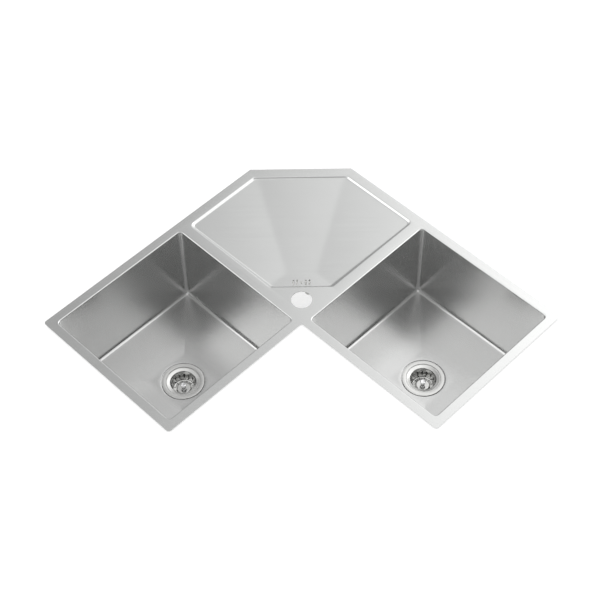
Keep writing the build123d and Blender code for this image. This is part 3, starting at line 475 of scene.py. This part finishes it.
def brushing_group():
    """Grain of brushed metal: noise drawn out along the first axis shades the colour, the roughness and the height.

    The shade is the mean of fine lines, of bands about eight times as wide, and of a wide cloud.
    """
    kinds = {"Shade": "Float", "Roughness": "Float", "Spread": "Float", "Lines": "Float", "Length": "Float"}
    group = new_group("brushing", {"Vector": "Vector", "Colour": "Color", **kinds})
    given = group.nodes.new("NodeGroupInput").outputs
    sizes = {"X": given["Length"], "Y": given["Lines"], "Z": given["Lines"]}
    stretch = add_node(group, "ShaderNodeCombineXYZ", sizes).outputs[0]
    place = add_node(group, "ShaderNodeVectorMath", {0: given["Vector"], 1: stretch}, operation="MULTIPLY").outputs[0]
    fine_noise = {"Vector": place, "Scale": 1.0, "Detail": 3.0, "Roughness": 0.65}
    lines = add_node(group, "ShaderNodeTexNoise", fine_noise).outputs["Fac"]
    wide_place = add_node(group, "ShaderNodeVectorMath", {0: place, "Scale": 0.13}, operation="SCALE").outputs[0]
    bands = add_node(group, "ShaderNodeTexNoise", {"Vector": wide_place, "Scale": 1.0, "Detail": 2.0}).outputs["Fac"]
    cloud_noise = {"Vector": given["Vector"], "Scale": 9.0, "Detail": 2.0}
    cloud = add_node(group, "ShaderNodeTexNoise", cloud_noise).outputs["Fac"]
    two = add_node(group, "ShaderNodeMath", {0: lines, 1: bands}, operation="ADD").outputs[0]
    three = add_node(group, "ShaderNodeMath", {0: two, 1: cloud}, operation="ADD").outputs[0]
    limits = {"Value": three, "From Min": 0.9, "From Max": 2.1, "To Min": -1.0, "To Max": 1.0}
    swing = add_node(group, "ShaderNodeMapRange", limits).outputs[0]
    shading = {0: swing, 1: given["Shade"], 2: 1.0}
    shade = add_node(group, "ShaderNodeMath", shading, operation="MULTIPLY_ADD").outputs[0]
    colour = add_node(group, "ShaderNodeVectorMath", {0: given["Colour"], "Scale": shade}, operation="SCALE")
    roughening = {0: swing, 1: given["Spread"], 2: given["Roughness"]}
    rough = add_node(group, "ShaderNodeMath", roughening, operation="MULTIPLY_ADD")
    made = {"Colour": colour.outputs[0], "Roughness": rough.outputs[0], "Height": lines}
    add_node(group, "NodeGroupOutput", made)
    return group


def skinned(material, group, place, values, bump, metallic):
    """Puts a surface group between a place and the material's shader, with its height as a bump in metres."""
    tree = material.node_tree
    shader = tree.nodes["Principled BSDF"]
    skin = add_node(tree, "ShaderNodeGroup", node_tree=group)
    tree.links.new(place, skin.inputs["Vector"])
    for key, value in values.items():
        skin.inputs[key].default_value = value
    relief = add_node(tree, "ShaderNodeBump", {"Height": skin.outputs["Height"], "Distance": bump, "Strength": 1.0})
    tree.links.new(skin.outputs["Colour"], shader.inputs["Base Color"])
    tree.links.new(skin.outputs["Roughness"], shader.inputs["Roughness"])
    tree.links.new(relief.outputs[0], shader.inputs["Normal"])
    shader.inputs["Metallic"].default_value = metallic
    return material


BRUSHING = brushing_group()


def steel(
    name, colour, roughness, shade=0.05, spread=0.04, lines=2200.0, length=30.0, turned=0.0, uv=False, bump=3e-6
):
    """Metal with a brushed grain. The grain runs along x of the object, turned about z, or along the UV map's u."""
    material = bpy.data.materials.new(name)
    material.use_nodes = True
    tree = material.node_tree
    place = add_node(tree, "ShaderNodeTexCoord").outputs["UV" if uv else "Object"]
    placed = add_node(tree, "ShaderNodeMapping", {"Vector": place, "Rotation": (0, 0, turned)}).outputs[0]
    values = {"Colour": (*colour, 1), "Shade": shade, "Roughness": roughness, "Spread": spread}
    return skinned(material, BRUSHING, placed, {**values, "Lines": lines, "Length": length}, bump, 1.0)


def finish_piece(piece, body, thickness=0.0):
    """Thickens a sheet behind its face, shades a piece smooth between its sharp edges, and puts it on its body."""
    if thickness:
        wall = piece.modifiers.new("wall", "SOLIDIFY")
        wall.thickness, wall.offset, wall.use_even_offset = thickness, -1.0, False
        made = bpy.data.meshes.new_from_object(piece.evaluated_get(bpy.context.evaluated_depsgraph_get()))
        piece.modifiers.clear()
        piece.data = made
    piece.data.polygons.foreach_set("use_smooth", np.ones(len(piece.data.polygons), bool))
    piece.data.set_sharp_from_angle(angle=radians(35))
    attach(piece, body)


SATIN = {"shade": 0.025, "spread": 0.012, "lines": 1500.0, "length": 24.0, "bump": 3e-7}
deck_steel = steel("deck_steel", (0.62, 0.625, 0.62), 0.20, turned=radians(-45), **SATIN)
deck = add_piece("deck_panel_sheet", np.vstack(parts), faces, [deck_steel])
finish_piece(deck, "sink", SHEET)
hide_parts("deck_panel")

# ---------------------------------------------------------------- bowls
# Each bowl is a square box folded from 1.2 mm brushed stainless sheet and welded under the deck's collar. Its
# floor has four facets that fall to a level strip and a round pressed seat for the strainer.
BOWL_SHEET = 0.0012
FLOOR_RADIUS = 0.0095
FLOOR_EDGE, FLOOR_LOW, SEAT_LEVEL = -0.260, -0.266, -0.2684
FLOOR_HALF_WIDTH, STRIP_HALF = 0.2005, 0.063
SEAT_OUTER, SEAT_RADIUS, DRAIN_HOLE = 0.0602, 0.0590, 0.0475
SEAT_PROFILE = [
    (0.0597, -0.26605), (0.0592, -0.2662), (SEAT_RADIUS, -0.2665), (SEAT_RADIUS, -0.2678), (0.0587, -0.2682),
    (0.0580, SEAT_LEVEL), (DRAIN_HOLE, SEAT_LEVEL),
]
WALL_ROWS, BEND_ROWS, FLOOR_RINGS = 9, 9, 25

wall_levels = np.linspace(COLLAR_END, FLOOR_EDGE + FLOOR_RADIUS, WALL_ROWS)
turning = np.linspace(0, np.pi / 2, BEND_ROWS + 1)[1:]
halves = np.concatenate((np.full(WALL_ROWS, BOWL_HALF), FLOOR_HALF_WIDTH + FLOOR_RADIUS * np.cos(turning)))
levels = np.concatenate((wall_levels, FLOOR_EDGE + FLOOR_RADIUS * (1 - np.sin(turning))))
rows = [level_ring(half, z) for half, z in zip(halves, levels)]

# the floor's rings pass from the square at its edge to the round seat, and fall evenly to the level strip
edge_ring, square_way = square_ring(FLOOR_HALF_WIDTH, BOWL_CORNER + FLOOR_HALF_WIDTH - BOWL_HALF)
round_way = square_way / np.linalg.norm(square_way, axis=1, keepdims=True)
steps = np.linspace(0, 1, FLOOR_RINGS + 1)[1:, None, None]
floor_rings = edge_ring + (round_way * SEAT_OUTER - edge_ring) * steps
inward = (FLOOR_HALF_WIDTH - np.abs(floor_rings).max(-1)) / (FLOOR_HALF_WIDTH - STRIP_HALF)
floor_z = FLOOR_EDGE + (FLOOR_LOW - FLOOR_EDGE) * np.clip(inward, 0, 1)
rows += [np.column_stack((ring, z)) for ring, z in zip(floor_rings, floor_z)]
rows += [np.column_stack((round_way * radius, np.full(RING_POINTS, z))) for radius, z in SEAT_PROFILE]
bowl_grid = np.array(rows)

# the grain runs round the walls and half of the bend, and along x on the floor
GRAIN_SHIFT = 3.0  # keeps the floor's part of the grain clear of the walls' part
closed_ring = np.vstack((rows[0], rows[0][:1]))
perimeter = np.concatenate(([0], np.cumsum(np.linalg.norm(np.diff(closed_ring, axis=0), axis=1))))
i, j = np.meshgrid(np.arange(len(rows) - 1), np.arange(RING_POINTS), indexing="ij")
corner_rows, corner_columns = np.stack((i, i, i + 1, i + 1), -1), np.stack((j, j + 1, j + 1, j), -1)
corner_places = bowl_grid[corner_rows, corner_columns % RING_POINTS]
on_wall = np.stack((perimeter[corner_columns], corner_places[..., 2]), -1)
on_floor = corner_places[..., :2] + GRAIN_SHIFT
bowl_corners = np.where((i < WALL_ROWS + BEND_ROWS // 2)[..., None, None], on_wall, on_floor).reshape(-1, 2)

bowl_steel = steel("bowl_steel", (0.56, 0.562, 0.558), 0.24, uv=True, **SATIN)
for side, centre in BOWL_CENTRES.items():
    points = (bowl_grid + np.array((*centre, 0.0))).reshape(-1, 3)
    bowl = add_piece(f"{side}_bowl_box", points, grid_faces(len(bowl_grid), RING_POINTS), [bowl_steel], bowl_corners)
    finish_piece(bowl, "sink", BOWL_SHEET)
    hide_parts(f"{side}_bowl")

# ---------------------------------------------------------------- sound-deadening pads
# Black rubber sheets, 3 mm thick with a fine pebbled face, glued to the bowls' walls and floors and under the
# drainboard. They were cut from a roll, so they keep sharp edges.


def mottling_group():
    """Skin of rubber, plastic or castings: a wide and a fine cloud shade the colour, and the fine one is the height."""
    kinds = {"Shade": "Float", "Roughness": "Float", "Wide": "Float", "Fine": "Float"}
    group = new_group("mottling", {"Vector": "Vector", "Colour": "Color", **kinds})
    given = group.nodes.new("NodeGroupInput").outputs
    wide_noise = {"Vector": given["Vector"], "Scale": given["Wide"], "Detail": 4.0}
    fine_noise = {"Vector": given["Vector"], "Scale": given["Fine"], "Detail": 2.0}
    wide = add_node(group, "ShaderNodeTexNoise", wide_noise).outputs["Fac"]
    fine = add_node(group, "ShaderNodeTexNoise", fine_noise).outputs["Fac"]
    two = add_node(group, "ShaderNodeMath", {0: wide, 1: fine}, operation="ADD").outputs[0]
    limits = {"Value": two, "From Min": 0.6, "From Max": 1.4, "To Min": -1.0, "To Max": 1.0}
    swing = add_node(group, "ShaderNodeMapRange", limits).outputs[0]
    shading = {0: swing, 1: given["Shade"], 2: 1.0}
    shade = add_node(group, "ShaderNodeMath", shading, operation="MULTIPLY_ADD").outputs[0]
    colour = add_node(group, "ShaderNodeVectorMath", {0: given["Colour"], "Scale": shade}, operation="SCALE")
    rough = add_node(group, "ShaderNodeMath", {0: swing, 1: 0.06, 2: given["Roughness"]}, operation="MULTIPLY_ADD")
    made = {"Colour": colour.outputs[0], "Roughness": rough.outputs[0], "Height": fine}
    add_node(group, "NodeGroupOutput", made)
    return group


MOTTLING = mottling_group()


def moulded(name, colour, roughness, shade=0.12, wide=40.0, fine=900.0, bump=1e-4, metallic=0.0):
    """Rubber, plastic, card or cast metal with a mottled skin in the object's own coordinates."""
    material = bpy.data.materials.new(name)
    material.use_nodes = True
    place = add_node(material.node_tree, "ShaderNodeTexCoord").outputs["Object"]
    values = {"Colour": (*colour, 1), "Shade": shade, "Roughness": roughness, "Wide": wide, "Fine": fine}
    return skinned(material, MOTTLING, place, values, bump, metallic)


def dress(material, *names):
    """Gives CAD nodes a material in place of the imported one."""
    for name in names:
        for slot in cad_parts[name].material_slots:
            slot.material = material


pad_rubber = moulded("pad_rubber", (0.030, 0.030, 0.031), 0.72, fine=700.0, bump=3e-4)
dress(pad_rubber, "right_bowl_pads", "left_bowl_pads", "drainboard_pad")

# ---------------------------------------------------------------- sealing strip
# Dark closed-cell foam strip, cut from a roll and stuck under the rim just inside its edge. It seals the rim
# against the worktop once the clips pull the sink down.
rim_foam = moulded("rim_foam", (0.045, 0.045, 0.046), 0.85, shade=0.2, wide=120.0, fine=1500.0, bump=4e-4)
dress(rim_foam, "rim_seal")

# ---------------------------------------------------------------- drainboard's outlet fitting
# White moulded cup with a hose spigot, drawn up against a rubber gasket under the slots by one plated screw. The
# plastic is thin enough to let light through.
LIGHT_THROUGH = 0.85
white_plastic = moulded("white_plastic", (0.80, 0.80, 0.78), 0.38, shade=0.03, wide=25.0, fine=600.0, bump=2e-5)
tree = white_plastic.node_tree
milky = add_node(tree, "ShaderNodeBsdfTranslucent", {"Color": (0.98, 0.98, 0.97, 1)}).outputs[0]
solid = tree.nodes["Principled BSDF"].outputs[0]
passed = add_node(tree, "ShaderNodeMixShader", {0: LIGHT_THROUGH, 1: solid, 2: milky}).outputs[0]
tree.links.new(passed, tree.nodes["Material Output"].inputs["Surface"])
seal_rubber = moulded("seal_rubber", (0.018, 0.018, 0.018), 0.62, shade=0.2, fine=1100.0, bump=1e-4)
screw_steel = steel("screw_steel", (0.60, 0.60, 0.58), 0.24, lines=1500.0, length=300.0)
dress(white_plastic, "outlet_cup")
dress(seal_rubber, "outlet_gasket")
dress(screw_steel, "outlet_screw")

# ---------------------------------------------------------------- strainers
# Each is a deep-drawn and polished stainless cup with a flange, seated on a rubber seal in the bowl's floor. A
# gasket, a card ring and a die-cast locknut hold it from below, and a chromed tailpiece hangs in a coupling nut.
# Profiles are (radius, height) corners in millimetres, and each has the radii that round them.
CUP_PROFILE = [
    (57.0, -267.4), (57.0, -266.9), (56.4, -266.2), (46.2, -266.2), (46.0, -268.4),
    (42.0, -268.4), (42.0, -312.2), (20.0, -316.2), (20.0, -336.2), (24.0, -336.2),
    (24.0, -317.7), (43.5, -313.7), (43.5, -269.9), (47.0, -269.9), (47.0, -267.4),
]
CUP_RADII = [0.15, 0.3, 0.6, 0.15, 0.4, 0.6, 3.0, 2.0, 0.4, 0.6, 1.0, 3.0, 0.4, 0.3, 0.3]
CROSS_PROFILE = [(8.0, -317.2), (5.0, -317.2), (5.0, -319.7), (8.0, -319.7)]
CROSS_RADIUS = 0.4
BAR_ENDS, BAR_HALF_WIDTH, BAR_LEVELS = (0.0075, 0.0203), 0.002, (-0.3197, -0.3172)  # in metres
BAR_FACES = [(0, 1, 3, 2), (4, 6, 7, 5), (0, 4, 5, 1), (2, 3, 7, 6), (0, 2, 6, 4), (1, 5, 7, 3)]
TAIL_PROFILE = [
    (18.3, -338.7), (18.3, -418.7), (20.0, -418.7), (20.0, -344.7),
    (21.0, -344.7), (21.0, -340.7), (23.5, -340.7), (23.5, -338.7),
]
TAIL_RADII = [0.4, 0.4, 0.4, 0.3, 0.3, 0.4, 0.6, 0.6]


def turned_grid(line, centre, columns, lead=0.0):
    """Surface of revolution: each point (radius, height) of the line carried round the upright axis at a centre."""
    turn = (np.arange(columns) + lead) * 2 * np.pi / columns
    ring = np.stack((np.cos(turn), np.sin(turn), np.zeros(columns)), -1)
    return ring * line[:, :1, None] + np.array((*centre, 0.0)) + np.array((0, 0, 1.0)) * line[:, 1:, None]


def turned_corners(line, columns, closed):
    """UV places of a turned surface's face corners: u round the piece, v along its line, both in metres."""
    run = np.vstack((line, line[:1])) if closed else line
    along = np.concatenate(([0], np.cumsum(np.linalg.norm(np.diff(run, axis=0), axis=1))))
    i, j = np.meshgrid(np.arange(len(run) - 1), np.arange(columns), indexing="ij")
    u = np.stack((j, j + 1, j + 1, j), -1) * 0.25 / columns
    v = along[np.stack((i, i, i + 1, i + 1), -1)]
    return np.stack((u, v), -1).reshape(-1, 2)


def turned(name, profile, radii, centre, material, columns=96, closed=True):
    """Solid turned about an upright axis from a profile. One that isn't closed starts and ends on the axis."""
    line = np.vstack(rounded(profile, radii, 5)) / 1000
    points = turned_grid(line, centre, columns).reshape(-1, 3)
    faces = grid_faces(len(line), columns, closed_rows=closed)
    piece = add_piece(name, points, faces, [material], turned_corners(line, columns, closed))
    if not closed:
        joined = bmesh.new()
        joined.from_mesh(piece.data)
        bmesh.ops.remove_doubles(joined, verts=joined.verts, dist=1e-7)
        joined.to_mesh(piece.data)
        joined.free()
    return piece


strainer_steel = steel(
    "strainer_steel", (0.62, 0.62, 0.61), 0.22, shade=0.04, spread=0.03, lines=3000.0, length=20.0, uv=True
)
pipe_chrome = steel(
    "pipe_chrome", (0.70, 0.70, 0.71), 0.07, shade=0.02, spread=0.02, lines=1200.0, length=20.0, uv=True, bump=1e-6
)
card = moulded("card", (0.42, 0.30, 0.18), 0.9, shade=0.25, wide=200.0, fine=1600.0, bump=1e-4)
washer_plastic = moulded("washer_plastic", (0.72, 0.72, 0.70), 0.5, shade=0.04)
zinc = moulded("zinc", (0.48, 0.48, 0.48), 0.42, shade=0.08, wide=90.0, fine=1400.0, bump=8e-5, metallic=1.0)
for side, centre in BOWL_CENTRES.items():
    cup = turned(f"{side}_strainer_body", CUP_PROFILE, CUP_RADII, centre, strainer_steel, 128)
    finish_piece(cup, "sink")
    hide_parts(f"{side}_strainer_cup")

    cross = turned(f"{side}_strainer_cross", CROSS_PROFILE, CROSS_RADIUS, centre, strainer_steel, 48)
    with_bars = bmesh.new()
    with_bars.from_mesh(cross.data)
    for turn in (0, radians(90), radians(180), radians(270)):
        out, aside = Vector((cos(turn), sin(turn), 0)), Vector((-sin(turn), cos(turn), 0))
        bar = [
            with_bars.verts.new(Vector((*centre, z)) + out * reach + aside * offset)
            for reach in BAR_ENDS
            for offset in (-BAR_HALF_WIDTH, BAR_HALF_WIDTH)
            for z in BAR_LEVELS
        ]
        for face in BAR_FACES:
            with_bars.faces.new([bar[corner] for corner in face])
    with_bars.to_mesh(cross.data)
    with_bars.free()
    finish_piece(cross, "sink")

    tail = turned(f"{side}_tail_pipe", TAIL_PROFILE, TAIL_RADII, centre, pipe_chrome)
    finish_piece(tail, "sink")
    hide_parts(f"{side}_tailpiece")
    dress(seal_rubber, f"{side}_flange_seal", f"{side}_strainer_gasket")
    dress(card, f"{side}_friction_ring")
    dress(zinc, f"{side}_locknut", f"{side}_coupling_nut")
    dress(washer_plastic, f"{side}_tailpiece_washer")

# ---------------------------------------------------------------- baskets
# The lift-out basket is pressed from 0.8 mm stainless sheet, with slots in its wall and floor and a raised hub.
# A chromed knob's stem goes through the hub and holds the rubber stopper and the snap pin below it.
# Profiles are in millimetres, as for the strainers.
BASKET_SHEET = 0.0008
RIM_TOP, BASKET_FLOOR, HUB_TOP = -267.3, -304.3, -296.3
BASKET_PROFILE = [
    (45.1, RIM_TOP), (43.4, RIM_TOP), (35.0, -269.0), (33.2, -271.6),
    (30.0, BASKET_FLOOR), (20.0, BASKET_FLOOR), (17.5, HUB_TOP), (3.3, HUB_TOP),
]
BASKET_RADII = [0.0, 0.8, 1.0, 1.2, 2.5, 1.5, 2.0, 0.0]
RIM_LIP = (45.1, -267.8)  # where the rim's edge turns down
STEP = 0.0011  # greatest length of a basket face along the profile
COLUMNS = 192
WALL_SLOT_CYCLE, FLOOR_SLOT_CYCLE, SLOT_COLUMNS = 12, 16, 3  # columns from slot to slot, and of one slot
WALL_SLOT_MIDDLE, WALL_SLOT_HALF, WALL_LEAST_RADIUS = -0.2878, 0.008, 0.029
FLOOR_SLOT_MIDDLE, FLOOR_SLOT_HALF, FLOOR_GREATEST_HEIGHT = 0.025, 0.003, -0.3038
STOPPER_UNDER, STOPPER_TOP = -315.2636, -305.1
STOPPER_PROFILE = [
    (3.25, STOPPER_TOP), (3.25, STOPPER_UNDER), (23.5, STOPPER_UNDER),
    (23.5, STOPPER_UNDER + 4), (8.0, STOPPER_UNDER + 8), (8.0, STOPPER_TOP),
]
STOPPER_RADII = [0.2, 0.2, 1.2, 1.2, 1.5, 0.4]
KNOB_TOP = HUB_TOP + 16.0
KNOB_PROFILE = [
    (0, STOPPER_UNDER), (3.2, STOPPER_UNDER), (3.2, HUB_TOP), (6.0, HUB_TOP), (3.8, HUB_TOP + 3),
    (3.8, KNOB_TOP - 6), (7.5, KNOB_TOP - 3), (7.5, KNOB_TOP - 0.9), (5.2, KNOB_TOP - 0.1), (0, KNOB_TOP - 0.7),
]
KNOB_RADII = [0, 0.2, 0.2, 0.4, 2.0, 2.0, 0.7, 0.8, 0.8, 0]


def filled_in(line, step):
    """Line with extra points, so that no run is longer than a step."""
    along = np.concatenate(([0], np.cumsum(np.linalg.norm(np.diff(line, axis=0), axis=1))))
    wanted = np.union1d(along, np.linspace(0, along[-1], int(along[-1] / step) + 1))
    wanted = wanted[np.concatenate(([True], np.diff(wanted) > step * 0.05))]
    return np.column_stack((np.interp(wanted, along, line[:, 0]), np.interp(wanted, along, line[:, 1])))


line = filled_in(np.vstack([[RIM_LIP], *rounded(BASKET_PROFILE, BASKET_RADII, 6)]) / 1000, STEP)
basket_grid = turned_grid(line, (0, 0), COLUMNS, lead=-0.5)
radius, height = ((line[1:] + line[:-1]) / 2).T[..., None]
column = np.arange(COLUMNS) + 1
on_slotted_wall = (np.abs(height - WALL_SLOT_MIDDLE) < WALL_SLOT_HALF) & (radius > WALL_LEAST_RADIUS)
on_slotted_floor = (np.abs(radius - FLOOR_SLOT_MIDDLE) < FLOOR_SLOT_HALF) & (height < FLOOR_GREATEST_HEIGHT)
wall_slot = on_slotted_wall & (column % WALL_SLOT_CYCLE < SLOT_COLUMNS)
floor_slot = on_slotted_floor & (column % FLOOR_SLOT_CYCLE < SLOT_COLUMNS)
kept = ~(wall_slot | floor_slot).ravel()
basket_faces = grid_faces(len(line), COLUMNS)[kept]
basket_corners = turned_corners(line, COLUMNS, False).reshape(-1, 4, 2)[kept].reshape(-1, 2)
knob_chrome = steel(
    "knob_chrome", (0.72, 0.72, 0.73), 0.06, shade=0.02, spread=0.02, lines=2500.0, length=20.0, uv=True, bump=1e-6
)
stopper_rubber = moulded("stopper_rubber", (0.022, 0.022, 0.022), 0.6, shade=0.15, fine=900.0)
for side, centre in BOWL_CENTRES.items():
    unit = f"{side}_basket_unit"
    points = (basket_grid + np.array((*centre, 0.0))).reshape(-1, 3)
    basket = add_piece(f"{side}_basket_sheet", points, basket_faces, [strainer_steel], basket_corners)
    finish_piece(basket, unit, BASKET_SHEET)
    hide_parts(f"{side}_basket")

    knob = turned(f"{side}_basket_grip", KNOB_PROFILE, KNOB_RADII, centre, knob_chrome, 64, closed=False)
    finish_piece(knob, unit)
    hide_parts(f"{side}_basket_knob")

    stopper = turned(f"{side}_basket_plug", STOPPER_PROFILE, STOPPER_RADII, centre, stopper_rubber, 64)
    finish_piece(stopper, unit)
    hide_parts(f"{side}_basket_stopper")
    dress(white_plastic, f"{side}_basket_pin")

# ---------------------------------------------------------------- fixing clips
# Channels bent from galvanised strip are spot-welded under the rim. A hexagon-headed screw hangs in each, and a
# plated claw climbs it until its toothed end bites the underside of the worktop.
bracket_steel = moulded(
    "bracket_steel", (0.46, 0.47, 0.48), 0.38, shade=0.22, wide=160.0, fine=1200.0, bump=5e-5, metallic=1.0
)
claw_steel = steel("claw_steel", (0.56, 0.54, 0.46), 0.30, shade=0.1, lines=800.0, length=120.0)
dress(bracket_steel, "clip_rails")
dress(screw_steel, "clip_screws")
dress(claw_steel, *[f"{side}_claw_{number}" for side in BOWL_CENTRES for number in (1, 2, 3, 4)])
